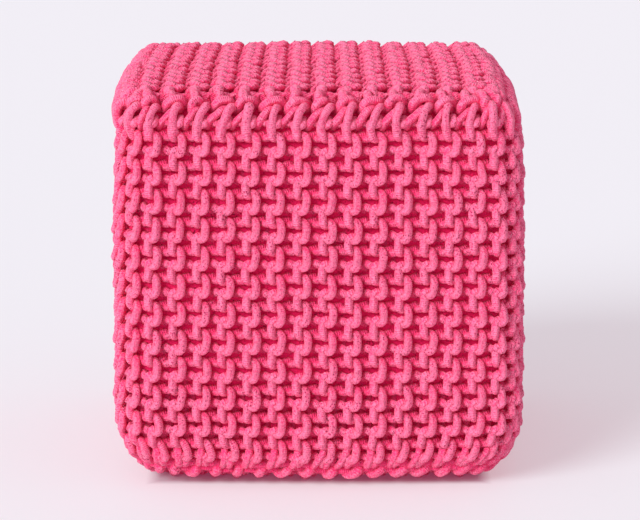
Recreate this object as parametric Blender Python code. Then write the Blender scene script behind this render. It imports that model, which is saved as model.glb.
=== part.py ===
"""A knitted cube pouf, as solids: the filled side band, the top and base squares and two sewn edges.

Metres, +Z up. The origin is the middle of the base, on the floor the pouf stands on, and the front
faces -Y. The cover is garter stitch, so its ridges are raised: upright round the sides, and from
front to back on the top and the base.
"""

import math

import bmesh
import bpy

# The cube. WIDTH is measured over the swelled middle of two opposite sides.
WIDTH = 0.360
HEIGHT = 0.350
CROWN = 0.004             # how far the middle of the top stands above its edges
EDGE_RADIUS = 0.028       # the rounding along the top and base edges
CORNER_RADIUS = 0.036     # the rounding of the four upright corners, seen from above

# How the filling pushes the cube out of true.
DRAW_TOP = 0.006          # the sides lean in this much from half height to the top edge
SAG_BASE = 0.003          # and out this much to the base edge, where the filling settles
DRAW_CORNER = 0.0055      # the upright corners stand back this much from the middles of the sides
FOOT_INSET = 0.024        # the lowest rows tuck in under the load
FOOT_HEIGHT = 0.070
TOP_SIDEWAYS = 0.007      # the top sits this far to the left, so the right-hand edge is rounder
TOP_SIDEWAYS_HEIGHT = 0.050

# The knitting. A ridge is two rows of garter stitch.
RIDGES_PER_SIDE = 16
BAND_SHIFT = -0.66        # the band's ridges stand this far from mid front, in ridges
SQUARE_SHIFT = 0.09       # and the squares' ridges this far from the middle of a square
RIDGE_DEPTH = 0.007       # ridge top to the bottom of the groove beside it
BASE_RIDGE_DEPTH = 0.004  # shallower, since the base is pressed flat

# The sewn edges and the joints between the pieces.
SEAM_START = math.radians(53.0)  # the squares end here on the edge rounding, 0 being straight up
SEAM_GAP = math.radians(1.0)     # half a millimetre along the rounding
SEAM_BELOW = 0.008               # the seam reaches this far down the side, past the rounding
SEAM_DEPTH = 0.008
SEAM_BUMP = 0.004                # how far a slanted stitch stands out of the seam
SEAM_SLANT = 0.5                 # how far a stitch leans along the seam, in stitches
SQUARE_RIM = 0.0114              # thickness of the squares at their edges
GAP = 0.0003

# The mesh.
BODY_LEVELS = 6           # rings of points up the side band
SEAM_STEPS = 4            # points to each slanted stitch
BORDER_DEPTH = 0.3        # a square's left and right borders lie this share of a groove deep
LEAST_STEP = 0.002        # no column of a square's points stands closer than this to its border
SHARP_ANGLE = math.radians(50)

HALF = WIDTH / 2
CORE = HALF - CORNER_RADIUS                # half the square inside the corner roundings
FLAT = CORNER_RADIUS - EDGE_RADIUS         # flat margin between that square and the edge rounding
TOP_EDGE = HEIGHT - CROWN                  # height of the top square's edge
MARGIN = FLAT + EDGE_RADIUS * SEAM_START   # from the core square to a square's edge, over the rounding
STITCHES_ROUND = 4 * RIDGES_PER_SIDE

# A ridge in section: its place across the ridge, in ridges, and its depth as a share of the groove's.
RIDGE_SECTION = ((-0.33, 0.2), (0.0, 0.0), (0.33, 0.2), (0.5, 1.0))
SQUARE_SECTION = ((-0.36, 0.25), (-0.17, 0.0), (0.17, 0.0), (0.36, 0.25), (0.5, 1.0))

PINK = (0.83, 0.07, 0.17, 1.0)
DEEP_PINK = (0.72, 0.05, 0.13, 1.0)


def swell(x, y, z):
    """Move a point of the plain rounded box to where the filling pushes it."""
    up = 2 * z / HEIGHT - 1
    lean = (DRAW_TOP if up > 0 else -SAG_BASE) * up * up
    across = x * x + y * y
    corner = DRAW_CORNER * 2 * (x * y) ** 2 / (across * HALF * HALF) if across else 0.0
    foot = FOOT_INSET * max(0.0, 1 - z / FOOT_HEIGHT) ** 2
    keep = 1 - (lean + corner + foot) / HALF
    near_top = min(1.0, max(0.0, 1 - (HEIGHT - z) / TOP_SIDEWAYS_HEIGHT))
    sideways = TOP_SIDEWAYS * near_top * near_top * (3 - 2 * near_top)
    return x * keep - sideways, y * keep, z


def plan(along):
    """A point of the core square and the way out from it, after `along` ridges from mid front."""
    side_length = 2 * CORE
    corner_length = math.pi / 2 * CORNER_RADIUS
    turn = side_length + corner_length
    run = (along / RIDGES_PER_SIDE * turn + CORE) % (4 * turn)
    side = int(run // turn)
    run -= side * turn
    if run < side_length:
        x, y, lean = run - CORE, -CORE, 0.0
    else:
        x, y, lean = CORE, -CORE, (run - side_length) / CORNER_RADIUS
    out = lean - math.pi / 2
    turned = side * math.pi / 2
    cos, sin = math.cos(turned), math.sin(turned)
    way = (math.cos(out + turned), math.sin(out + turned))
    return (x * cos - y * sin, x * sin + y * cos), way


def ring(stations, place):
    """One closed ring of points; place(station) is (inset from the box's side, height)."""
    points = []
    for station in stations:
        (x, y), (out_x, out_y) = plan(station)
        inset, height = place(station)
        out = CORNER_RADIUS - inset
        points.append(swell(x + out * out_x, y + out * out_y, height))
    return points


def over_edge(angle, depth, down=0.0):
    """(inset from the side, distance below the edge) of a point on the rounding, or `down` past it."""
    radius = EDGE_RADIUS - depth
    return EDGE_RADIUS - radius * math.sin(angle), EDGE_RADIUS - radius * math.cos(angle) + down


def smooth_object(name, mesh, colour):
    """Add an object for a closed mesh, its faces pointing out, in plain matt yarn."""
    bmesh.ops.recalc_face_normals(mesh, faces=mesh.faces)
    data = bpy.data.meshes.new(name)
    mesh.to_mesh(data)
    mesh.free()
    data.shade_smooth()
    data.set_sharp_from_angle(angle=SHARP_ANGLE)
    material = bpy.data.materials.new(name)
    material.use_nodes = True
    shader = material.node_tree.nodes["Principled BSDF"]
    shader.inputs["Base Color"].default_value = colour
    shader.inputs["Roughness"].default_value = 0.9
    shader.inputs["Metallic"].default_value = 0.0
    data.materials.append(material)
    piece = bpy.data.objects.new(name, data)
    bpy.context.collection.objects.link(piece)
    return piece


def skin_rings(mesh, rings, closed):
    """Join rings of points with quads. Closed joins the last to the first, else both ends are capped."""
    loops = [[mesh.verts.new(point) for point in points] for points in rings]
    pairs = list(zip(loops, loops[1:]))
    if closed:
        pairs.append((loops[-1], loops[0]))
    for low, high in pairs:
        count = len(low)
        for i in range(count):
            j = (i + 1) % count
            mesh.faces.new((low[i], low[j], high[j], high[i]))
    if not closed:
        mesh.faces.new(loops[0])
        mesh.faces.new(loops[-1])


def side_band():
    """The filled body inside the ribbed band, stepped at both ends to take the squares and seams."""
    ridge = [(n + BAND_SHIFT + place, depth) for n in range(STITCHES_ROUND)
             for place, depth in RIDGE_SECTION]
    stations = [place for place, _ in ridge]
    groove = {place: depth * RIDGE_DEPTH for place, depth in ridge}
    cap_inset, _ = over_edge(SEAM_START, SEAM_DEPTH)
    _, cap_below = over_edge(SEAM_START, SQUARE_RIM)
    cap_below += GAP
    foot_inset = SEAM_DEPTH + GAP
    shoulder = EDGE_RADIUS + SEAM_BELOW + GAP

    def ends(height_of):
        cap = ring(stations, lambda station: (cap_inset, height_of(cap_below)))
        step = ring(stations, lambda station: (foot_inset, height_of(shoulder)))
        return cap, step

    base_cap, base_step = ends(lambda below: below)
    top_cap, top_step = ends(lambda below: TOP_EDGE - below)
    low, high = shoulder, TOP_EDGE - shoulder
    body = []
    for level in range(BODY_LEVELS):
        z = low + (high - low) * level / (BODY_LEVELS - 1)
        body.append(ring(stations, lambda station, z=z: (groove[station], z)))
    mesh = bmesh.new()
    skin_rings(mesh, [base_cap, base_step, *body, top_step, top_cap], closed=False)
    return smooth_object("side_band", mesh, PINK)


def seam(name, height_of, slant):
    """A ring of slanted stitches over an edge; height_of turns a distance from the edge into a height."""
    count = STITCHES_ROUND * SEAM_STEPS
    stations = [i / SEAM_STEPS for i in range(count)]
    start = SEAM_START + SEAM_GAP
    quarter = math.pi / 2
    # The outer points of the section: angle on the rounding, way down past it, and the stitch's lean.
    outer = ((start, 0.0, 0.0), ((start + quarter) / 2, 0.0, 0.5), (quarter, SEAM_BELOW, 1.0))
    inner = ((quarter, SEAM_BELOW), (start, 0.0))

    def stitch(station, angle, down, lean):
        phase = station - BAND_SHIFT + slant * SEAM_SLANT * lean
        depth = SEAM_BUMP * math.sin(math.pi * phase) ** 2
        inset, below = over_edge(angle, depth, down)
        return inset, height_of(below)

    rings = [ring(stations, lambda station, at=at: stitch(station, *at)) for at in outer]
    for angle, down in inner:
        inset, below = over_edge(angle, SEAM_DEPTH, down)
        rings.append(ring(stations, lambda station, at=(inset, height_of(below)): at))
    mesh = bmesh.new()
    skin_rings(mesh, rings, closed=True)
    return smooth_object(name, mesh, DEEP_PINK)


def on_square(across, back, depth, crown):
    """(x, y, distance from the edge) of a point of a square, from its place while it was flat."""
    x = max(-CORE, min(CORE, across))
    y = max(-CORE, min(CORE, back))
    past_x, past_y = across - x, back - y
    past = max(abs(past_x), abs(past_y))
    length = math.hypot(past_x, past_y)
    angle = max(0.0, past - FLAT) / EDGE_RADIUS
    out = min(past, FLAT) + (EDGE_RADIUS - depth) * math.sin(angle)
    below = EDGE_RADIUS - (EDGE_RADIUS - depth) * math.cos(angle)
    if length:
        x += out * past_x / length
        y += out * past_y / length
    lift = crown * (1 - (x / HALF) ** 2) * (1 - (y / HALF) ** 2)
    return x, y, below - lift


def knitted_square(name, height_of, groove_depth, crown):
    """A ribbed square with a rounded border and a flat inner side, its ridges from front to back."""
    reach = CORE + MARGIN
    pitch = 2 * reach / RIDGES_PER_SIDE
    across = [(-reach, BORDER_DEPTH)]
    for n in range(-1, RIDGES_PER_SIDE + 1):
        for place, depth in SQUARE_SECTION:
            x = -reach + (n + 0.5 + SQUARE_SHIFT + place) * pitch
            if abs(x) < reach - LEAST_STEP:
                across.append((x, depth))
    across.append((reach, BORDER_DEPTH))
    steps = (0.0, CORE / 2, CORE, CORE + FLAT, CORE + (FLAT + MARGIN) / 2, reach)
    back = [-step for step in reversed(steps[1:])] + list(steps)
    mesh = bmesh.new()

    def point(x, y, depth, lift):
        px, py, below = on_square(x, y, depth, lift)
        return mesh.verts.new(swell(px, py, height_of(below)))

    grid = [[point(x, y, depth * groove_depth, crown) for x, depth in across] for y in back]
    for front_row, back_row in zip(grid, grid[1:]):
        for i in range(len(across) - 1):
            mesh.faces.new((front_row[i], front_row[i + 1], back_row[i + 1], back_row[i]))
    last_x, last_y = len(across) - 1, len(back) - 1
    border = [(i, 0) for i in range(last_x)]
    border += [(last_x, j) for j in range(last_y)]
    border += [(i, last_y) for i in range(last_x, 0, -1)]
    border += [(0, j) for j in range(last_y, 0, -1)]
    rim = [grid[j][i] for i, j in border]
    inner = [point(across[i][0], back[j], SQUARE_RIM, 0.0) for i, j in border]
    for i in range(len(border)):
        j = (i + 1) % len(border)
        mesh.faces.new((rim[i], rim[j], inner[j], inner[i]))
    mesh.faces.new(inner)
    return smooth_object(name, mesh, PINK)


def build():
    """Make the five pieces in an empty scene."""
    for old in list(bpy.data.objects):
        bpy.data.objects.remove(old)
    side_band()
    knitted_square("top_square", lambda below: TOP_EDGE - below, RIDGE_DEPTH, CROWN)
    knitted_square("base_square", lambda below: below, BASE_RIDGE_DEPTH, 0.0)
    seam("top_seam", lambda below: TOP_EDGE - below, slant=1)
    seam("base_seam", lambda below: below, slant=-1)


build()
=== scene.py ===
# %% [markdown]
# # A knitted cube pouf
#
# The real pouf is a filled cube in a cover of thick cotton cord. The cover is garter stitch: one long
# strip goes round the four sides with its ridges upright, and a square of the same knitting closes the
# top and another the base. Slanted stitches sew the squares to the strip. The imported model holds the
# cube's plain solids, and this lesson makes the cord itself, loop by loop, on the same shape.

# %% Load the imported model
import math

import bpy
import numpy as np
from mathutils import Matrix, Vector


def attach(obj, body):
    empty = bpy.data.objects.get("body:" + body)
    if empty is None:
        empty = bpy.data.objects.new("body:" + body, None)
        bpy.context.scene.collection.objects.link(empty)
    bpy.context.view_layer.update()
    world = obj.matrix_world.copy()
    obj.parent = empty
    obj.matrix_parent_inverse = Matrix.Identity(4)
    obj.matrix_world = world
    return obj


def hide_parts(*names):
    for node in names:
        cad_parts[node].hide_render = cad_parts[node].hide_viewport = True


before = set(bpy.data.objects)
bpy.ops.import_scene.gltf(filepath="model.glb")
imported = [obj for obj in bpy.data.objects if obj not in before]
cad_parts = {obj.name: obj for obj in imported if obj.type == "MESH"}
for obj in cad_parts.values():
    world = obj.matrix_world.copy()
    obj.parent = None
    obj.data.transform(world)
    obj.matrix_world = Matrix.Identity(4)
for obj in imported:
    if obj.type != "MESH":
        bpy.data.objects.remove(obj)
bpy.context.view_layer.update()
print("solids:", sorted(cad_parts))


def deselect_all():
    """Leave nothing selected, so that the next operator acts on its own new object only."""
    bpy.ops.object.select_all(action="DESELECT")


# %% [markdown]
# ## The camera
#
# The camera comes first, so that every later step can be looked at from the same place. It stands far
# back with a long lens, straight in front of the pouf and a little higher than its top, as for a
# catalogue picture. An aim point says more than three angles do, so the turn is worked out from it.

# %% Camera
CAMERA_PLACE = Vector((0.0, -2.401, 0.6816))
CAMERA_AIM = Vector((0.001, 0.0, 0.1658))
LENS_MM, SENSOR_MM = 152.8, 36.0
SEES_TO = 50.0            # how far the camera sees, past the far end of the floor

deselect_all()
bpy.ops.object.camera_add(location=CAMERA_PLACE)
camera = bpy.context.object
camera.name = "camera"
camera.rotation_euler = (CAMERA_AIM - CAMERA_PLACE).to_track_quat("-Z", "Y").to_euler()
camera.data.lens = LENS_MM
camera.data.sensor_width = SENSOR_MM
camera.data.clip_end = SEES_TO
bpy.context.scene.camera = camera
print("camera", round((CAMERA_AIM - CAMERA_PLACE).length, 3), "m from its aim point")

# %% [markdown]
# ## The shape under the knitting
#
# Every cord follows the same skin: a cube with rounded edges that its filling swells. Its sizes and
# formulas are those of the solids, but the four bottom corners are a little rounder here. A place on
# the skin is given as a knitter would give it: so many ridges round from the middle of the front, so
# high up the cloth, and so deep under the ridge tops. The functions turn that into points of the room,
# for whole arrays at once.

# %% Sizes of the cube
WIDTH = 0.360
HEIGHT = 0.350
CROWN = 0.004             # the middle of the top stands this much higher than its edges
EDGE_RADIUS = 0.028       # the edges round the top and the base
CORNER_RADIUS = 0.036     # the upright edges
DRAW_TOP = 0.006          # how far the sides draw in towards the top
SAG_BASE = 0.003          # and swell out towards the base, before the foot tucks in
DRAW_CORNER = 0.0055      # how far the upright edges draw in
FOOT_INSET = 0.024        # how far the foot tucks in where it meets the floor
FOOT_HEIGHT = 0.070       # and how high up that begins
FOOT_CORNERS = 0.45       # its corners tuck in more, by this share
CORNER_LIFT = 0.0012      # and stand up to this far off the floor
TOP_SIDEWAYS = 0.007      # the top leans this far to the left
TOP_SIDEWAYS_HEIGHT = 0.050                      # over this much of its height
RIDGES_PER_SIDE = 16
BAND_SHIFT = -0.66        # where a ridge of the band stands, in ridges from the middle of the front
SQUARE_SHIFT = 0.09       # and where a valley of the squares lies
SEAM_START = math.radians(53.0)                  # how far round the edge the sewing begins

HALF = WIDTH / 2
CORE = HALF - CORNER_RADIUS                      # half the straight part of a side
FLAT = CORNER_RADIUS - EDGE_RADIUS               # a square's flat rim outside that
TOP_EDGE = HEIGHT - CROWN
REACH = CORE + FLAT + EDGE_RADIUS * SEAM_START   # from a square's middle to its sewn edge
RIDGES_ROUND = 4 * RIDGES_PER_SIDE
TINY = 1e-9               # keeps a length of zero from being divided by
print("a square reaches", round(1000 * REACH, 1), "mm from its middle")


# %% The skin, as functions
def swell(x, y, z):
    """Points of the plain rounded box, moved to where the filling pushes them, as one array."""
    up = 2 * z / HEIGHT - 1
    lean = np.where(up > 0, DRAW_TOP, -SAG_BASE) * up * up
    across = np.maximum(x * x + y * y, TINY)
    corner = 2 * (x * y) ** 2 / (across * HALF * HALF)
    low = np.maximum(0.0, 1 - z / FOOT_HEIGHT) ** 2
    foot = FOOT_INSET * low * (1 + FOOT_CORNERS * corner * corner)
    keep = 1 - (lean + DRAW_CORNER * corner + foot) / HALF
    near_top = np.clip(1 - (HEIGHT - z) / TOP_SIDEWAYS_HEIGHT, 0.0, 1.0)
    sideways = TOP_SIDEWAYS * near_top * near_top * (3 - 2 * near_top)
    return np.stack((x * keep - sideways, y * keep, z + CORNER_LIFT * low * corner * corner), axis=-1)


def on_band(along, up, depth):
    """Points of the side band: ridges round from mid front, height up the cloth, depth in it."""
    side_length = 2 * CORE
    turn = side_length + math.pi / 2 * CORNER_RADIUS
    run = (along / RIDGES_PER_SIDE * turn + CORE) % (4 * turn)
    side = np.floor(run / turn)
    run = run - side * turn
    core_x = np.minimum(run, side_length) - CORE
    out_way = np.maximum(0.0, run - side_length) / CORNER_RADIUS - math.pi / 2 + side * math.pi / 2
    cos, sin = np.cos(side * math.pi / 2), np.sin(side * math.pi / 2)
    straight = np.clip(up, EDGE_RADIUS, TOP_EDGE - EDGE_RADIUS)
    bend = (up - straight) / EDGE_RADIUS
    radius = EDGE_RADIUS - depth
    out = CORNER_RADIUS - EDGE_RADIUS + radius * np.cos(bend)
    x = core_x * cos + CORE * sin + out * np.cos(out_way)
    y = core_x * sin - CORE * cos + out * np.sin(out_way)
    return swell(x, y, straight + radius * np.sin(bend))


def on_square(across, back, depth, top):
    """Points of the top or base square, from their place while it lay flat."""
    x, y = np.clip(across, -CORE, CORE), np.clip(back, -CORE, CORE)
    past_x, past_y = across - x, back - y
    past = np.maximum(np.abs(past_x), np.abs(past_y))
    length = np.maximum(np.hypot(past_x, past_y), TINY)
    angle = np.maximum(0.0, past - FLAT) / EDGE_RADIUS
    radius = EDGE_RADIUS - depth
    out = (np.minimum(past, FLAT) + radius * np.sin(angle)) / length
    x, y = x + out * past_x, y + out * past_y
    below = EDGE_RADIUS - radius * np.cos(angle)
    if not top:
        return swell(x, y, below)
    lift = CROWN * (1 - (x / HALF) ** 2) * (1 - (y / HALF) ** 2)
    return swell(x, y, TOP_EDGE - below + lift)


print("mid front at half height:", on_band(np.array(0.0), np.array(HEIGHT / 2), np.array(0.0)).round(4))

# %% [markdown]
# ## One loop of garter stitch
#
# In garter stitch every row of loops hangs in the row before it, and the rows face the front and the
# back by turns. A loop could be drawn by eye, but the cord would then cut through its neighbours. So
# half a loop is laid out roughly and left to settle like a real cord: it keeps its length, it resists
# bending, and it pushes away from its mirror images, which stand for all the loops around it. The
# whole fabric is copies of the half loop that comes out.

# %% Sizes of the stitch
STITCH = 0.0241           # along a ridge, from one loop to the next
ROW = 0.01077             # across the ridges, from one row of loops to the next
BAR_RADIUS = 0.0037       # the cord where it lies on top
LEG_RADIUS = 0.0034       # and between two rows, to the left of a ridge
DEEP_LEG_RADIUS = 0.0029  # and to the right of it, where it lies deeper and is squeezed more
SQUEEZE = 1.5             # the higher, the sooner the cord thins on its way in
HEAD_REACH = 0.0096       # across the ridges, from a row's middle to its heads and feet
LOOP_CORD = 56            # the cord in one whole loop, in mm
HALF_STEPS = 22           # the steps that half a loop is worked out in


def loop_radius(share, inside):
    """The cord's radius in metres along half a loop: full on top of the cloth, squeezed inside it."""
    return inside + (BAR_RADIUS - inside) * np.abs(np.cos(math.pi * share)) ** SQUEEZE


print("cord:", 2000 * BAR_RADIUS, "mm thick on top,", 2000 * DEEP_LEG_RADIUS, "mm where it is deepest")


# %% Half a loop, laid out roughly
ROUGH_HEAD = 9.65         # the same reach as HEAD_REACH, before the loop settles; in mm, as all here
FINE_POINTS, SMOOTHINGS = 400, 200


def spaced(line, count, measured):
    """The line taken anew as count points at even distances, measured over its first columns."""
    run = np.r_[0, np.cumsum(np.linalg.norm(np.diff(line[:, :measured], axis=0), axis=1))]
    even = np.linspace(0, run[-1], count)
    return np.stack([np.interp(even, run, line[:, k]) for k in range(line.shape[1])], 1)


def rough_loop():
    """Points (along, across, out) of half a loop, from its foot to the top of its head."""
    stitch, head = STITCH * 1000, ROUGH_HEAD
    corners = np.array([
        (stitch / 2, -head, -6), (stitch / 2 - 3.5, -head, -6), (3.8, -0.75 * head, -4.8),
        (4.4, -0.3 * head, -1.8), (6, 0, 0), (7.6, 0.3 * head, 1.8), (8.2, 0.75 * head, 4.8),
        (3.5, head, 6), (0, head, 6)], float)
    fine, coarse = np.linspace(0, 1, FINE_POINTS), np.linspace(0, 1, len(corners))
    line = np.stack([np.interp(fine, coarse, corners[:, k]) for k in range(3)], 1)
    for _ in range(SMOOTHINGS):
        line[1:-1] = 0.5 * line[1:-1] + 0.25 * (line[:-2] + line[2:])
    return spaced(line, HALF_STEPS + 1, 3)


print("from foot to head:", (rough_loop()[-1] - rough_loop()[0]).round(2), "mm")

# %% The loops around it
# Every half loop near enough to touch: (rows off, stitches off, mirrored or not).
AROUND = [(rows, stitches, mirrored)
          for rows in range(-3, 4) for stitches in range(-2, 3) for mirrored in (0, 1)]
SAME_CORD = 10.0          # points nearer than this along one cord, in mm, don't push each other


def same_cord(link):
    """For each half loop around, which pairs of points are too near along the cord to push."""
    count = np.arange(HALF_STEPS + 1)
    near = np.zeros((len(AROUND), HALF_STEPS + 1, HALF_STEPS + 1), bool)
    for k, other in enumerate(AROUND):
        if other == (0, 0, 0):
            near[k] = np.abs(count[:, None] - count) * link < SAME_CORD
        elif other == (0, 0, 1):
            near[k] = (2 * HALF_STEPS - count[:, None] - count) * link < SAME_CORD
        elif other == (0, 1, 1):
            near[k] = (count[:, None] + count) * link < SAME_CORD
    return near


print(len(AROUND), "half loops around, counting itself")

# %% Let it settle
STRETCH = 60              # how hard the cord resists being stretched
BEND = 0.8                # and being bent, as a share of that
PUSH = 3.0                # how hard two cords push where they touch
PACKED = 0.87             # how near their middles come, as a share of their two radii together
LEG_CORE = 0.0015         # the radius that counts inside the cloth, where cords squeeze most
SETTLE_STEPS = 1200
TIME_STEP, SPEED_KEPT, TOP_SPEED = 0.05, 0.93, 4
MIRROR = (-1, 1, 1)


def settle_loop(length):
    """Points (along, across, out) in mm of half a loop, from its foot to the top of its head."""
    stitch, row = STITCH * 1000, ROW * 1000
    line = rough_loop()
    link = length / 2 / HALF_STEPS
    thick = 1000 * loop_radius(np.arange(HALF_STEPS + 1) / HALF_STEPS, LEG_CORE)
    reach = (thick[:, None] + thick[None, :]) * PACKED
    near = same_cord(link)
    flip = np.array([(-1 if mirrored else 1, 1, -1 if rows % 2 else 1) for rows, _, mirrored in AROUND],
                    float)
    shift = np.array([(stitches * stitch, rows * row, 0) for rows, stitches, _ in AROUND], float)
    speed = np.zeros_like(line)
    for _ in range(SETTLE_STEPS):
        force = np.zeros_like(line)
        step = np.diff(line, axis=0)
        size = np.linalg.norm(step, axis=1, keepdims=True)
        pull = STRETCH * (size - link) * step / size
        force[:-1] += pull
        force[1:] -= pull
        before, after = line[1] * MIRROR + (stitch, 0, 0), line[-2] * MIRROR
        longer = np.vstack([before, line, after])
        bend = longer[:-2] - 2 * longer[1:-1] + longer[2:]
        bend = np.vstack([bend[1] * MIRROR, bend, bend[-2] * MIRROR])
        force -= BEND * STRETCH / link ** 2 * (bend[:-2] - 2 * bend[1:-1] + bend[2:])
        others = line[None] * flip[:, None] + shift[:, None]
        apart = line[None, :, None] - others[:, None]
        gap = np.sqrt((apart ** 2).sum(-1)) + TINY
        press = np.maximum(0, reach - gap)
        press[near] = 0
        force += ((PUSH * press / gap)[..., None] * apart).sum((0, 2))
        force[0, 0] = force[-1, 0] = 0
        speed = (speed + TIME_STEP * force) * SPEED_KEPT
        fastest = np.linalg.norm(speed, axis=1).max()
        speed *= min(1.0, TOP_SPEED / max(fastest, TINY))
        line = line + TIME_STEP * speed
        line[0, 0], line[-1, 0] = stitch / 2, 0
    return line * (1, 1000 * HEAD_REACH / line[-1, 1], 1)


half_loop = settle_loop(LOOP_CORD) / 1000
ROOM = 0.001              # left between the skin and the cords, as they are uneven
CLOTH_MIDDLE = half_loop[-1, 2] + BAR_RADIUS + ROOM
print("half a loop:", len(half_loop), "points, cloth", round(2 * CLOTH_MIDDLE * 1000, 1), "mm thick")

# %% [markdown]
# ## From loops to cloth
#
# A row of knitting is the half loop, its mirror image, the half loop again and so on, so one long line
# of points makes a row. The cloth is many such lines, every second one turned over. A tube is then
# drawn along each line. Hand knitting is never quite even, so a smooth random field, the same for all
# cords that lie together, pushes the points about by a millimetre or so.

# %% A smooth random field
LATTICE = 48              # random vectors along each side of the field, after which it repeats


def wander(points, cell, seed):
    """A smooth random vector for each point, from -1 to 1, that changes over about a cell."""
    lattice = np.random.default_rng(seed).uniform(-1, 1, (LATTICE, LATTICE, LATTICE, 3))
    place = points / cell + LATTICE / 2
    base = np.floor(place).astype(int)
    part = place - base
    part = part * part * (3 - 2 * part)
    total = 0.0
    for dx in (0, 1):
        for dy in (0, 1):
            for dz in (0, 1):
                weight = (np.where(dx, part[..., 0], 1 - part[..., 0])
                          * np.where(dy, part[..., 1], 1 - part[..., 1])
                          * np.where(dz, part[..., 2], 1 - part[..., 2]))
                corner = lattice[(base[..., 0] + dx) % LATTICE, (base[..., 1] + dy) % LATTICE,
                                 (base[..., 2] + dz) % LATTICE]
                total = total + weight[..., None] * corner
    return total


print("the field at one place:", wander(np.zeros((1, 3)), ROW, 0).round(3))


# %% Ways and rings
WIDER, FLATTER = 0.30, 0.12       # how much wider and flatter a fully pressed cord is
ASKEW = (0.31, 0.52, 0.79)        # a direction that no cord follows
STEP_IN = 0.001                   # the step down into the cloth that shows which way is out


def unit(vectors):
    """The vectors, each one unit long."""
    return vectors / np.maximum(np.linalg.norm(vectors, axis=-1, keepdims=True), TINY)


def laid(place, depth):
    """Points at a depth under the ridge tops, and the way out of the cloth there."""
    points = place(depth)
    return points, unit(points - place(depth + STEP_IN))


def rings(lines, out_ways, sides, pressed):
    """The way along each line at its points, and the ways from there to the points round the cord.

    Where the cord is pressed, its round section is wider along the cloth and flatter across it.
    """
    ways = unit(np.gradient(lines, axis=1))
    normals = np.empty_like(lines)
    normals[:, 0] = unit(np.cross(ways[:, 0], ASKEW))
    for j in range(1, lines.shape[1]):
        carried = normals[:, j - 1]
        carried = carried - (carried * ways[:, j]).sum(-1, keepdims=True) * ways[:, j]
        normals[:, j] = unit(carried)
    across = np.cross(ways, normals)
    turn = 2 * math.pi * np.arange(sides) / sides
    ring = (np.cos(turn)[:, None] * normals[:, :, None] + np.sin(turn)[:, None] * across[:, :, None])
    out_part = (ring * out_ways[:, :, None]).sum(-1, keepdims=True) * out_ways[:, :, None]
    side_ways = unit(np.cross(out_ways, ways))[:, :, None]
    side_part = (ring * side_ways).sum(-1, keepdims=True) * side_ways
    return ways, ring + pressed * (WIDER * side_part - FLATTER * out_part)


# %% Faces and map of the tubes
MAP_SCALE = 10                    # the map's units to a metre of cord
MAP_ROW = 0.377                   # and from one row to the next, so that no two look the same


def tube_faces(rows, count, sides):
    """The quads along all tubes and the triangles over their ends, as numbers of vertices."""
    body = rows * count * sides
    index = np.arange(body).reshape(rows, count, sides)
    turned = np.roll(index, -1, axis=2)
    quads = np.stack([index[:, :-1], turned[:, :-1], turned[:, 1:], index[:, 1:]], -1).reshape(-1, 4)
    first = body + 2 * np.arange(rows)[:, None]
    fans = [np.stack([first + 0 * index[:, 0], turned[:, 0], index[:, 0]], -1).reshape(-1, 3),
            np.stack([first + 1 + 0 * index[:, 0], index[:, -1], turned[:, -1]], -1).reshape(-1, 3)]
    return quads, np.concatenate(fans)


def tube_map(lines, sides):
    """For each corner of the quads, how far along the cord and how far round it that corner lies."""
    lengths = np.linalg.norm(np.diff(lines, axis=1), axis=2)
    run = np.concatenate([np.zeros((len(lines), 1)), np.cumsum(lengths, axis=1)], 1)
    run = run * MAP_SCALE + np.arange(len(lines))[:, None] * MAP_ROW
    low, high = np.repeat(run[:, :-1, None], sides, 2), np.repeat(run[:, 1:, None], sides, 2)
    share = np.broadcast_to(np.arange(sides) / sides, low.shape)
    more = share + 1 / sides
    return np.stack([low, share, low, more, high, more, high, share], -1).reshape(-1, 2)


# %% Tubes along lines of points
CLOTH_BOTTOM = 0.012              # the depth at which the cord's painted shade is darkest
CAP = 0.6                         # how far a tube's closed end stands out, in radii


def mesh_object(name, vertices, quads, fans, quad_map, painted_shade):
    """A smooth object of quads, and of triangles after them, with a map and a value to each vertex."""
    mesh = bpy.data.meshes.new(name)
    mesh.vertices.add(len(vertices))
    mesh.vertices.foreach_set("co", vertices.astype(np.float32).ravel())
    mesh.loops.add(quads.size + fans.size)
    mesh.loops.foreach_set("vertex_index", np.concatenate([quads.ravel(), fans.ravel()]))
    mesh.polygons.add(len(quads) + len(fans))
    starts = np.concatenate([4 * np.arange(len(quads)), quads.size + 3 * np.arange(len(fans))])
    mesh.polygons.foreach_set("loop_start", starts)
    mesh.attributes.new("painted_shade", "FLOAT", "POINT").data.foreach_set("value", painted_shade.astype(np.float32))
    layer = mesh.uv_layers.new(name="along_cord")
    fan_map = np.zeros((len(fans) * 3, 2))
    layer.data.foreach_set("uv", np.concatenate([quad_map, fan_map]).astype(np.float32).ravel())
    mesh.update(calc_edges=True)
    mesh.validate()
    mesh.shade_smooth()
    piece = bpy.data.objects.new(name, mesh)
    bpy.context.collection.objects.link(piece)
    print(name, "-", 2 * len(quads) + len(fans), "triangles")
    return piece


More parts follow.
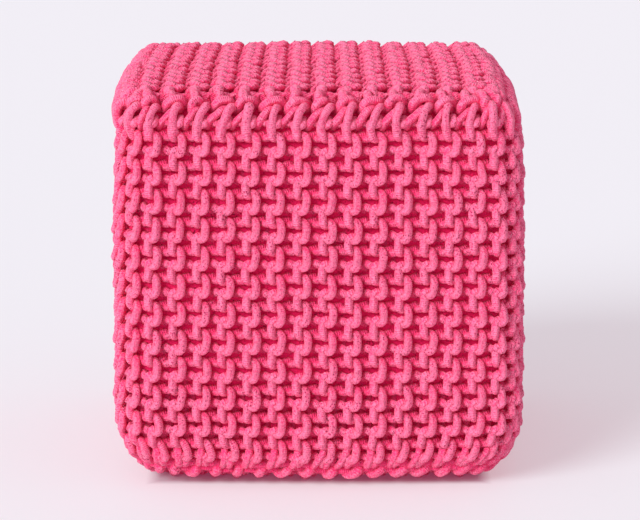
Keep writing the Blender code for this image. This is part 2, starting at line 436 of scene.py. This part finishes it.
def cord_mesh(name, lines, out_ways, depths, radii, sides, pressed=0.0):
    """One object of closed tubes along many lines, each an array row, with a map that follows them.

    Each vertex also keeps a painted shade from how deep it lies: 0 on the ridge tops, 1 at the bottom.
    """
    ways, ring = rings(lines, out_ways, sides, pressed)
    points = lines[:, :, None] + radii[..., None, None] * ring
    ends = np.stack([lines[:, 0] - ways[:, 0] * radii[:, :1] * CAP,
                     lines[:, -1] + ways[:, -1] * radii[:, -1:] * CAP], 1)
    vertices = np.concatenate([points.reshape(-1, 3), ends.reshape(-1, 3)])
    # painted shade: every point of a tube is as dark as it lies deep, so a cord's underside is darker
    raised = radii[..., None] * (ring * out_ways[:, :, None]).sum(-1)
    deep = np.concatenate([(depths[..., None] - raised).ravel(), depths[:, [0, -1]].ravel()])
    quads, fans = tube_faces(*lines.shape[:2], sides)
    return mesh_object(name, vertices, quads, fans, tube_map(lines, sides), deep / CLOTH_BOTTOM)


# %% Rows of loops
# The points along half a loop, as shares of its length. They lie closer where they show, by the head.
SHARES = (0, 0.2, 0.34, 0.44, 0.53, 0.61, 0.69, 0.76, 0.82, 0.88, 0.94, 1)
SPREAD = 0.0004           # the legs that show stand this much farther apart than they settle,
SPREAD_AT = (0.41, 0.60)  # by these shares of the half loop, in a plain row and in a turned one
SPREAD_OVER = 0.13


def row_line(first, last, turned, whole):
    """Points (along, across, out, radius) of a row, from the head numbered first to that numbered last.

    A turned row shows its feet in place of its heads, so its points lie closer by the feet. A whole row
    has half a loop more after its last head.
    """
    shares = np.array(SHARES)
    if turned:
        shares = 1 - shares[::-1]
    steps = np.arange(HALF_STEPS + 1)
    falling = np.stack([np.interp(shares * HALF_STEPS, steps, half_loop[:, k]) for k in range(3)], 1)
    falling[:, 0] += SPREAD * np.exp(-((shares - SPREAD_AT[turned]) / SPREAD_OVER) ** 2)
    radii = loop_radius(shares, DEEP_LEG_RADIUS if turned else LEG_RADIUS)
    falling = np.column_stack([falling, radii])[::-1]              # from a head down to its foot
    rising = falling[::-1] * (*MIRROR, 1) + (STITCH, 0, 0, 0)       # and up to the next head
    points = [falling[:1] + (first * STITCH, 0, 0, 0)]
    for number in range(first, last):
        points += [falling[1:] + (number * STITCH, 0, 0, 0), rising[1:] + (number * STITCH, 0, 0, 0)]
    if whole:
        points.append(falling[1:] + (last * STITCH, 0, 0, 0))
    return np.concatenate(points)


def both_lines(first, last, whole):
    """The line of a row that shows its heads, and of one that shows its feet."""
    return row_line(first, last, False, whole), row_line(first, last, True, whole)


band_lines = both_lines(-1, 12, False)      # head 0 is the highest that shows whole
print("a row of the band:", len(band_lines[0]), "points")

# %% [markdown]
# ## The side band
#
# The strip is knitted as four pieces of 16 ridges, one to a side, so that no mesh grows too heavy. A
# ridge is two rows: the feet of one stand on its left, and the heads of the other on its right, half a
# stitch lower. The band's top and bottom rows sink in under the seams that hold them. The same
# function knits the band and the squares, and a table for each says how the cloth lies there.

# %% How the cloth lies
# The relief is how far the cloth rises or drops across the valley beside a ridge: (rows across, rise).
# The groove is how far the legs between a ridge's two bars rise, where one bar runs into the other and
# half a stitch further. The hump is how far the ends of each bar lie under its middle, and by the
# shingle its lower or back end stands out more than the other. Pressed is how much of the full
# flattening the bars get, and the painted shade lift takes that much depth off the cord's painted
# shade, so it is painted paler, as if it lay that much higher.
SIDE_LOOK = {
    "relief": ((0.11, 0.0), (0.89, 0.0), (1.15, -0.0018), (1.3, -0.0018), (1.5, 0.0008),
               (1.75, 0.0042), (1.97, 0.0038)),
    "groove": (0.0032, 0.0), "hump": 0.0, "shingle": 0.0006, "pressed": 0.0, "painted_shade_lift": 0.0}
SQUARE_LOOK = {
    "relief": ((0.11, 0.0006), (0.89, -0.0008), (1.0, 0.0008), (1.15, 0.0026), (1.3, 0.0032),
               (1.5, 0.0044), (1.75, 0.0066), (1.97, 0.0056)),
    "groove": (0.0050, 0.0042), "hump": 0.0042, "shingle": -0.0018, "pressed": 1.0, "painted_shade_lift": 0.0012}
HUMP_ROUND = 1.3          # the higher, the longer a humped bar stays high
PRESS_REACH = 1.3         # the higher, the farther from a bar's middle it is pressed
GAP_PAINTED_SHADE = (1.3, 0.6)    # a hump's drop counts this often again in the painted shade: in plain, turned rows
print("relief of the squares:", 1000 * SQUARE_LOOK["relief"][-2][1], "mm at most")

# %% Knit a piece of cloth
MIDDLE, BARS_OFF = 0.5, 0.39   # a ridge's middle, in rows, and how far its two bars stand off it
GROOVE_EDGE = 4           # the higher, the steeper the groove's two sides
UNEVEN = 0.0009           # how far the cords wander over a wide cell, and what share over a small one
SMALL_SHARE = 0.8
WIDE_CELL, SMALL_CELL = 0.019, 0.008
THICK_VARIES, THICK_CELL = 0.05, 0.012       # the share by which the cord's thickness varies
LEAN = 0.02               # how far the bars on the ridges lean, as a slope
STRAIGHTEN = 0.0008       # the left bars of the ridges curve less at their ends than the right ones
SINK = 0.0015             # the bars at the back of the cloth sink into the filling
FRONT, FRONT_OVER = -0.004, 0.003   # the cord counts as in front from here outwards, and how soon


def uneven(points, seed):
    """Points of hand knitting: near ones move together, by about a millimetre."""
    return (points + UNEVEN * wander(points, WIDE_CELL, seed)
            + SMALL_SHARE * UNEVEN * wander(points, SMALL_CELL, seed + 1))


def knit(name, place, rows, lines, seed, look, sides=8):
    """One piece of cloth: place(across, along, depth) puts it on the cube, rows counts the rows."""
    numbers = np.array(rows)[:, None]
    turned = numbers % 2 == 1
    along, middle, out, radii = (np.where(turned, lines[1][:, k], lines[0][:, k]) for k in range(4))
    face = np.where(turned, -1, 1)
    turn = 2 * math.pi * along / STITCH
    lean = LEAN * STITCH / (2 * math.pi) * np.sin(turn) * face
    straighten = STRAIGHTEN * (1 + np.cos(turn)) * turned
    across = numbers + (middle - lean - straighten) / ROW
    out = face * out
    in_front = np.clip((out - FRONT) / FRONT_OVER, 0, 1)
    rows_across, rise = np.array(look["relief"]).T
    rise = np.interp(across % 2, rows_across, rise, period=2) + look["shingle"] * np.sin(turn) * face
    groove = np.clip(1 - (np.abs(across % 2 - MIDDLE) / BARS_OFF) ** GROOVE_EDGE, 0, 1)
    meeting = (1 + np.sin(turn)) / 2
    rise += groove * (look["groove"][0] * meeting + look["groove"][1] * (1 - meeting))
    bar_middle = (1 + np.cos(turn) * face) / 2
    drop = look["hump"] * (1 - bar_middle) ** HUMP_ROUND
    depth = CLOTH_MIDDLE - out - (rise - drop) * in_front + SINK * (1 - in_front)
    points, ways = laid(lambda deep: place(across, along, deep), depth)
    points = uneven(points, seed)
    radii = radii * (1 + THICK_VARIES * wander(points, THICK_CELL, seed + 2)[..., 0])
    # painted shade: the cord's depth, darker again where humped bars drop, less by the look's lift
    shaded = depth - look["painted_shade_lift"] + drop * in_front * np.where(turned, GAP_PAINTED_SHADE[1], GAP_PAINTED_SHADE[0])
    pressed = look["pressed"] * (in_front * np.clip(PRESS_REACH * bar_middle, 0, 1))[..., None, None]
    return cord_mesh(name, points, ways, shaded, radii, sides, pressed)


# %% Knit the four sides
TOP_HEAD = 0.3003         # height of the highest whole head
TUCK = 0.006              # how far the cloth's ends are drawn in under the seams
TOP_TUCK = 1.15           # the band's top end goes in farther, by the square of this
TOP_FROM, TOP_OVER = 0.313, 0.010           # the height where that begins, and over how much it grows
BOTTOM_FROM, BOTTOM_OVER = 0.030, 0.014     # and the same at the base


def on_side(across, along, depth):
    """Band knitting on the cube: rows across, from mid front, and distance down from the top head."""
    up = TOP_HEAD - along
    top_end = TOP_TUCK * np.clip((up - TOP_FROM) / TOP_OVER, 0, 1)
    end = top_end + np.clip((BOTTOM_FROM - up) / BOTTOM_OVER, 0, 1)
    return on_band((across - MIDDLE) / 2 + BAND_SHIFT, up, depth + TUCK * end * end)


panels = []
for n, name in enumerate(("knit_front", "knit_right", "knit_back", "knit_left")):
    first = (n * RIDGES_PER_SIDE - RIDGES_PER_SIDE // 2) * 2
    rows = range(first, first + 2 * RIDGES_PER_SIDE)
    panels.append(knit(name, on_side, rows, band_lines, 10, SIDE_LOOK))

# %% [markdown]
# ## The top and base squares
#
# The squares are the same cloth laid flat, with the ridges from front to back. Their bars bulge more
# than the band's and are pressed flatter. The ends of each bar lie down between the next ones, where
# the cord is painted darker: painted shade. The squares end where the sewing begins, and their last
# loops sink in under it.

# %% Knit the two squares
SQUARE_ROW = 2 * REACH / (2 * RIDGES_PER_SIDE)
LAST_LOOPS = 0.1472       # from the middle of the square to its last whole loops
FIRST_LOOP = 1.5          # where along the row line the first whole loops lie, in stitches
LOOPS_ACROSS = 11.5       # the stitches from the first whole loops to the last
SQUARE_STITCH = 2 * LAST_LOOPS / LOOPS_ACROSS
TO_VALLEY = 0.25          # brings a valley to the middle of the square, in ridges
SQUARE_TUCK = 1.5         # the squares' ends go in farther than TUCK, by the square of this
TUCK_FROM, TUCK_OVER = 0.003, 0.007         # beyond the last loops, and over how much it grows
RIM = 0.002               # how far the outer rows may stand past the sewn edge


def square_place(top):
    """A function that lays square knitting on the top or the base of the cube."""
    def place(across, along, depth):
        x = (across / 2 + TO_VALLEY + SQUARE_SHIFT) * 2 * SQUARE_ROW
        y = -LAST_LOOPS + (along / STITCH - FIRST_LOOP) * SQUARE_STITCH
        end = SQUARE_TUCK * np.clip((np.abs(y) - LAST_LOOPS - TUCK_FROM) / TUCK_OVER, 0, 1)
        x = np.clip(x, -REACH - RIM, REACH + RIM)
        return on_square(x, y, depth + TUCK * end * end, top)
    return place


square_lines = both_lines(1, 13, True)
square_rows = range(-RIDGES_PER_SIDE, RIDGES_PER_SIDE)
top_panel = knit("knit_top", square_place(True), square_rows, square_lines, 30, SQUARE_LOOK)
base_panel = knit("knit_base", square_place(False), square_rows, square_lines, 40, SQUARE_LOOK, 6)

# %% [markdown]
# ## The sewn edges
#
# The squares are sewn to the band with the same cord. One long slanted stitch to each ridge comes up
# through the band, climbs over the edge leaning to the right, and goes down into the square. Shorter
# strands cross beside it and under it. Each strand is a few points in a table, smoothed into a line
# and copied round with small differences: four strands to a ridge round the top, five round the base.

# %% Smooth a few points into a line
CORNER_CUTS = 4           # how often every corner is cut off, a quarter of the way along its sides


def smooth_line(corners, count):
    """A round curve between the first corner and the last, as count points that lie evenly."""
    corners = np.array(corners, float)
    for _ in range(CORNER_CUTS):
        middles = (corners[:-1] * 3 + corners[1:]) / 4, (corners[:-1] + corners[1:] * 3) / 4
        cut = np.stack(middles, 1).reshape(-1, corners.shape[1])
        corners = np.vstack([corners[:1], cut, corners[-1:]])
    return spaced(corners, count, 2)


print("three corners as five points:", smooth_line([(0, 0), (1, 0), (1, 1)], 5).round(2).tolist())

# %% The strands
# Each strand is its points (ridges along, height up the cloth, depth) and its cord's radius.
TOP_STITCHES = (
    (((-0.18, 0.307, 0.014), (-0.19, 0.310, 0.0035), (-0.17, 0.3165, 0.0015), (-0.01, 0.326, 0.0013),
      (0.20, 0.334, 0.002), (0.28, 0.338, 0.006), (0.30, 0.341, 0.014)), 0.0042),
    (((-0.78, 0.313, 0.014), (-0.70, 0.317, 0.0065), (-0.42, 0.324, 0.005),
      (-0.05, 0.333, 0.005), (0.16, 0.340, 0.014)), 0.0038),
    (((-0.35, 0.336, 0.012), (-0.25, 0.339, 0.004), (0.0, 0.343, 0.0025), (0.25, 0.346, 0.005),
      (0.33, 0.348, 0.013)), 0.0044),
    (((-0.10, 0.342, 0.012), (-0.08, 0.345, 0.006), (-0.04, 0.350, 0.003), (-0.03, 0.358, 0.004),
      (-0.02, 0.362, 0.012)), 0.0048),
)
BASE_STITCHES = (
    (((-0.17, 0.040, 0.014), (-0.18, 0.036, 0.005), (-0.24, 0.030, 0.0035),
      (-0.38, 0.022, 0.0035), (-0.46, 0.018, 0.006), (-0.47, 0.015, 0.014)), 0.0038),
    (((0.32, 0.015, 0.012), (0.28, 0.0130, 0.004), (0.11, 0.0090, 0.002),
      (-0.06, 0.0065, 0.004), (-0.12, 0.003, 0.012)), 0.0052),
    (((-0.62, 0.0095, 0.009), (-0.3, 0.0115, 0.0075), (0.1, 0.0095, 0.0075),
      (0.5, 0.0115, 0.009)), 0.0042),
    (((-0.60, 0.020, 0.010), (-0.3, 0.022, 0.0075), (0.1, 0.020, 0.0075), (0.5, 0.022, 0.010)), 0.0040),
    (((0.12, 0.034, 0.013), (0.08, 0.030, 0.006), (-0.08, 0.024, 0.004), (-0.20, 0.019, 0.006),
      (-0.22, 0.017, 0.013)), 0.0040),
)
print(len(TOP_STITCHES), "strands to a ridge at the top,", len(BASE_STITCHES), "at the base")

# %% Sew the edges
RIDGE = 2 * ROW
STRAND_POINTS = 15
SLANT_VARIES = 0.16       # how far a strand's last point moves along the edge, in ridges, either way
FIRST_POINT = -0.4        # and the share of that by which its first point moves
HEIGHT_VARIES = 0.0014    # how far a strand's height varies
THINNEST, THICKEST = 0.86, 1.10             # how thick the strands come out, as shares of the table's
WAIST = 0.12              # how much thinner a strand is pulled in its middle
LUMPS, LUMP_CELL = 0.08, 0.007              # the share by which lumps thicken or thin it
TOP_PAINTED_SHADE, BASE_PAINTED_SHADE = 0.001, 0.003        # painted shade: the sewing is drawn a little darker, as if it lay deeper


def sew(name, stitches, seed, shade):
    """The strands of a table, sewn round an edge at every ridge."""
    lines = []
    chance = np.random.default_rng(seed)
    numbers = np.arange(RIDGES_ROUND)
    share = np.linspace(-1, 1, STRAND_POINTS)
    for corners, thick in stitches:
        path = smooth_line([(a * RIDGE, u, d) for a, u, d in corners], STRAND_POINTS)
        slant = (SLANT_VARIES * chance.uniform(-1, 1, (RIDGES_ROUND, 1))
                 * np.linspace(FIRST_POINT, 1, STRAND_POINTS))
        along = numbers[:, None] + BAND_SHIFT + path[:, 0] / RIDGE + slant
        up = path[:, 1] + HEIGHT_VARIES * chance.uniform(-1, 1, (RIDGES_ROUND, 1))
        depth = path[:, 2] + ROOM + 0 * along
        points, ways = laid(lambda deep: on_band(along, up, deep), depth)
        thick = thick * chance.uniform(THINNEST, THICKEST, (RIDGES_ROUND, 1))
        points = uneven(points, seed)
        lumps = 1 + LUMPS * wander(points, LUMP_CELL, seed + 2)[..., 0]
        thick = thick * (1 - WAIST * (1 - share ** 2)) * lumps
        # painted shade: the strand's depth and the sewing's extra painted shade
        lines.append((points, ways, depth + shade, thick))
    return cord_mesh(name, *(np.concatenate(part) for part in zip(*lines)), 8)


top_sewing = sew("sewing_top", TOP_STITCHES, 50, TOP_PAINTED_SHADE)
base_sewing = sew("sewing_base", BASE_STITCHES, 60, BASE_PAINTED_SHADE)

# %% [markdown]
# ## The filled body
#
# Deep between the loops the eye meets the filled body that the cover is pulled over. It is made as by
# hand: a cube, its upright edges bevelled, then its top and base edges, then cut finer, and last
# pushed out of true by the same swell as the knitting.

# %% Bevel chosen edges
BEVEL_STEPS = 4


def bevel_edges(piece, wanted, offset):
    """Bevel the edges of a piece for which wanted(first point, second point) is true."""
    bpy.ops.object.mode_set(mode="EDIT")
    bpy.ops.mesh.select_all(action="DESELECT")
    bpy.ops.object.mode_set(mode="OBJECT")
    for edge in piece.data.edges:
        a, b = (piece.data.vertices[v].co for v in edge.vertices)
        edge.select = wanted(a, b)
    bpy.ops.object.mode_set(mode="EDIT")
    bpy.ops.mesh.select_mode(type="EDGE")
    bpy.ops.mesh.bevel(offset=offset, segments=BEVEL_STEPS, affect="EDGES")
    bpy.ops.object.mode_set(mode="OBJECT")
    print(piece.name, "bevelled, now", len(piece.data.polygons), "faces")


# %% Filled body
BODY_DEPTH = 0.0120       # how deep the filled body lies under the ridge tops
TALL = 0.1                # an edge that climbs more than this is an upright one
NEAR = 0.001              # how near the top or base an edge is to count as on it
FINER_CUTS = 3

deselect_all()
bpy.ops.mesh.primitive_cube_add(size=1, location=(0, 0, TOP_EDGE / 2))
body = bpy.context.object
body.name = "filled_body"
body.scale = (WIDTH - 2 * BODY_DEPTH, WIDTH - 2 * BODY_DEPTH, TOP_EDGE - 2 * BODY_DEPTH)
bpy.ops.object.transform_apply(location=True, rotation=True, scale=True)

high, low = TOP_EDGE - BODY_DEPTH - NEAR, BODY_DEPTH + NEAR
bevel_edges(body, lambda a, b: abs(a.z - b.z) > TALL, CORNER_RADIUS - BODY_DEPTH)
bevel_edges(body, lambda a, b: min(a.z, b.z) > high or max(a.z, b.z) < low, EDGE_RADIUS - BODY_DEPTH)
bpy.ops.object.mode_set(mode="EDIT")
bpy.ops.mesh.select_all(action="SELECT")
bpy.ops.mesh.quads_convert_to_tris()
bpy.ops.mesh.subdivide(number_cuts=FINER_CUTS)
bpy.ops.object.mode_set(mode="OBJECT")
flat = np.array([v.co for v in body.data.vertices])
body.data.vertices.foreach_set("co", swell(*flat.T).astype(np.float32).ravel())
bpy.ops.object.shade_smooth_by_angle(angle=math.radians(60))
print("filled_body -", len(body.data.polygons), "faces")

# %% [markdown]
# ## Shader maths
#
# Materials are worked out as formulas. A small class wraps a node's output, and its operators add the
# Math nodes, so that a formula reads as it would on paper. A second class holds a material and adds
# every other node to it.

# %% A socket that can be calculated with
class Socket:
    """An output of a node tree, with the operators that add Math nodes."""

    def __init__(self, finish, socket):
        self.finish, self.socket = finish, socket

    def math(self, operation, *others):
        """One Math node, on this socket and the others."""
        return self.finish.math(operation, self, *others)

    def __add__(self, other):
        return self.math("ADD", other)

    __radd__ = __add__

    def __sub__(self, other):
        return self.math("SUBTRACT", other)

    def __rsub__(self, other):
        return self.finish.math("SUBTRACT", other, self)

    def __mul__(self, other):
        return self.math("MULTIPLY", other)

    __rmul__ = __mul__

    def __truediv__(self, other):
        return self.math("DIVIDE", other)

    def __rtruediv__(self, other):
        return self.finish.math("DIVIDE", other, self)


# %% A material that nodes are added to
class Finish:
    """A new material, and the one method that adds a node to it, with three short forms of it."""

    def __init__(self, name):
        self.material = bpy.data.materials.new(name)
        self.material.use_nodes = True
        self.tree = self.material.node_tree
        self.shader = self.tree.nodes["Principled BSDF"]

    def node(self, kind, settings=None, values=None, output=0):
        """Add a node, make its settings, then fill its sockets with values or links."""
        node = self.tree.nodes.new(kind)
        for key, value in (settings or {}).items():
            setattr(node, key, value)
        for key, value in (values or {}).items():
            self.fill(node.inputs[key], value)
        return Socket(self, node.outputs[output])

    def fill(self, socket, value):
        """Link a socket to another, or give it a value."""
        if isinstance(value, Socket):
            self.tree.links.new(value.socket, socket)
        else:
            socket.default_value = value

    def math(self, operation, *values):
        """A Math node."""
        return self.node("ShaderNodeMath", {"operation": operation}, dict(enumerate(values)))

    def mix(self, share, first, second):
        """A colour between two; the Mix node's colours are its sockets 6 and 7, and its output 2."""
        return self.node("ShaderNodeMix", {"data_type": "RGBA"}, {0: share, 6: first, 7: second}, 2)

    def split(self, vector):
        """The three parts of a vector."""
        first = self.node("ShaderNodeSeparateXYZ", None, {0: vector})
        return [Socket(self, part) for part in first.socket.node.outputs]

    def shade(self, **values):
        """Fill the shader's sockets; Base_Color stands for Base Color."""
        for key, value in values.items():
            self.fill(self.shader.inputs[key.replace("_", " ")], value)
        print(self.material.name, "-", len(self.tree.nodes), "nodes")
        return self.material


# %% [markdown]
# ## Cotton cord
#
# The cord is matt cotton. Close up it is a fine braid of strands, it is a little lighter where fibres
# stand up and a little darker between the strands and in small dents, and the dye is not quite even.
# Every cord keeps how deep each point lies, and its colour is painted darker the deeper it lies: painted
# shade.

# %% Cord material
FLUFF, PATCHES, DENTS = 560.0, 55.0, 430.0   # how many of each there are to a metre
STRANDS_ALONG = 230       # the angle that the braid turns by along the cord, in radians to a map unit
STRANDS_ROUND = 12.566    # and in one turn round it, in radians: two strands each way
DENT_SIZE, DENT_PATCHES, DENT_EDGE = 0.44, 0.40, 6     # how wide, how seldom and how sharp dents are
DENT_COLOUR, DENT_HEIGHT = 0.36, 0.15        # how much a dent shows in the colour and the height
EVEN_SHADE, CONTRAST = 0.475, 4.5            # the shade of the light colour, and how far others depart
SUNK_DARKER = 1.35        # how fast the painted shade deepens with the cord's depth
GLOW = 0.04               # the cord glows a little red, though it is no lamp: painted light


def cord_material(name, light, dark, dent):
    """Cotton cord of three colours: on raised fibres, between and under them, and in small dents."""
    finish = Finish(name)
    along, turn, _ = finish.split(finish.node("ShaderNodeUVMap", {"uv_map": "along_cord"}))
    place = finish.node("ShaderNodeTexCoord", output="Object")
    painted_shade = finish.node("ShaderNodeAttribute", {"attribute_name": "painted_shade"}, output="Fac")
    braid = ((along * STRANDS_ALONG + turn * STRANDS_ROUND).math("SINE")
             * (along * STRANDS_ALONG - turn * STRANDS_ROUND).math("SINE"))
    fluff = finish.node("ShaderNodeTexNoise", None, {"Vector": place, "Scale": FLUFF, "Detail": 4.0})
    patches = finish.node("ShaderNodeTexNoise", None, {"Vector": place, "Scale": PATCHES, "Detail": 3.0})
    cells = finish.node("ShaderNodeTexVoronoi", None, {"Vector": place, "Scale": DENTS})
    hollow = ((DENT_SIZE - cells) * DENT_EDGE).math("MAXIMUM", 0.0)
    dents = hollow * ((patches - DENT_PATCHES) * DENT_EDGE)
    shade = (fluff * 0.7 + patches * 0.25 + braid * 0.05 - EVEN_SHADE) * CONTRAST
    # the dark colour also carries the painted shade, more of it the deeper the cord lies
    colour = finish.mix(shade + 1.0 - painted_shade * SUNK_DARKER, dark, light)
    colour = finish.mix(dents * DENT_COLOUR, colour, dent)
    height = fluff * 0.7 + braid * 0.3 - dents * DENT_HEIGHT
    bump = finish.node("ShaderNodeBump", None, {"Strength": 1.0, "Distance": 0.0018, "Height": height})
    # the red emission is painted light, on the cord and on the body alike
    return finish.shade(Base_Color=colour, Roughness=0.88, Normal=bump, Sheen_Weight=0.12,
                        Sheen_Roughness=0.4, Specular_IOR_Level=0.25,
                        Emission_Color=(1.0, 0.0, 0.15, 1), Emission_Strength=GLOW)


# %% Two pinks
cord_pink = cord_material("cotton_cord", light=(1.0, 0.193, 0.350, 1), dark=(0.90, 0.042, 0.172, 1),
                          dent=(0.60, 0.024, 0.13, 1))
# the body's pink is darker and redder than the cord's: painted shade, as it shows only deep between the
# loops
body_shade_pink = cord_material("body_cloth_shade", light=(0.80, 0.011, 0.115, 1), dark=(0.66, 0.005, 0.080, 1),
                          dent=(0.40, 0.003, 0.045, 1))

pieces = [*panels, top_panel, base_panel, top_sewing, base_sewing]
for piece in pieces:
    piece.data.materials.append(cord_pink)
body.data.materials.append(body_shade_pink)
print("the cord's pink is on", len(pieces), "pieces")

# %% [markdown]
# ## What each piece rides on and stands for
#
# Nothing moves on a pouf, so every piece rides on the one body. The knitting and the filled body
# stand for the plain solids, which are still what other things bump into.

# %% Ride and replace
for panel in panels + [body]:
    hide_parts("side_band")
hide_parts("top_square")
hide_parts("base_square")
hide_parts("top_seam")
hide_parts("base_seam")
for piece in pieces + [body]:
    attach(piece, "root")
print(len(pieces) + 1, "pieces ride on root")

# %% [markdown]
# ## The studio
#
# A plain pale floor, a pale sky and one large soft sun from the left in front. The floor also glows
# weakly, in place of the light that pale walls would throw back on it. Under the pouf hardly any such
# light could reach it, so the glow there is weak and red, and the foot meets the floor in a dark line.

# %% Floor
FLOOR_SIZE = 14
UNDER_POUF = 0.138        # nearer than this to the middle of the pouf the floor has its weak red glow,
GLOW_OVER = 0.012         # and over this distance it comes up to the full pale one
UNDER_GLOW, OPEN_GLOW = (0.38, 0.07, 0.15, 1), (1, 0.77, 0.83, 1)
FLOOR_GLOW = 0.438

deselect_all()
bpy.ops.mesh.primitive_plane_add(size=1, location=(0, 0, 0))
floor = bpy.context.object
floor.name = "floor"
floor.scale = (FLOOR_SIZE, FLOOR_SIZE, 1)
bpy.ops.object.transform_apply(location=True, rotation=True, scale=True)
floor_finish = Finish("floor_paint")
x, y, _ = floor_finish.split(floor_finish.node("ShaderNodeTexCoord", output="Object"))
far = x.math("ABSOLUTE").math("MAXIMUM", y.math("ABSOLUTE"))
glow = floor_finish.mix((far - UNDER_POUF) / GLOW_OVER, UNDER_GLOW, OPEN_GLOW)
floor.data.materials.append(floor_finish.shade(Base_Color=(0.42, 0.50, 0.52, 1), Roughness=0.8,
                                               Emission_Color=glow, Emission_Strength=FLOOR_GLOW))

# %% Sky and sun
SUN_WAY = Vector((1.14, 1.28, -0.87))
SUN_WIDTH, SUN_STRENGTH = math.radians(30), 3.08
SKY_COLOUR, SKY_STRENGTH = (0.96, 0.95, 1.0, 1), 0.60

bpy.context.scene.view_settings.view_transform = "Standard"
world = bpy.data.worlds.new("studio")
world.use_nodes = True
world.node_tree.nodes["Background"].inputs["Color"].default_value = SKY_COLOUR
world.node_tree.nodes["Background"].inputs["Strength"].default_value = SKY_STRENGTH
bpy.context.scene.world = world

deselect_all()
bpy.ops.object.light_add(type="SUN", location=(-2, -1.7, 1.2))
key = bpy.context.object
key.name = "key"
key.rotation_euler = SUN_WAY.to_track_quat("-Z", "Y").to_euler()
key.data.angle = SUN_WIDTH
key.data.energy = SUN_STRENGTH
print("the sun stands", round(math.degrees(SUN_WAY.angle(Vector((0, 0, -1))))), "degrees from overhead")
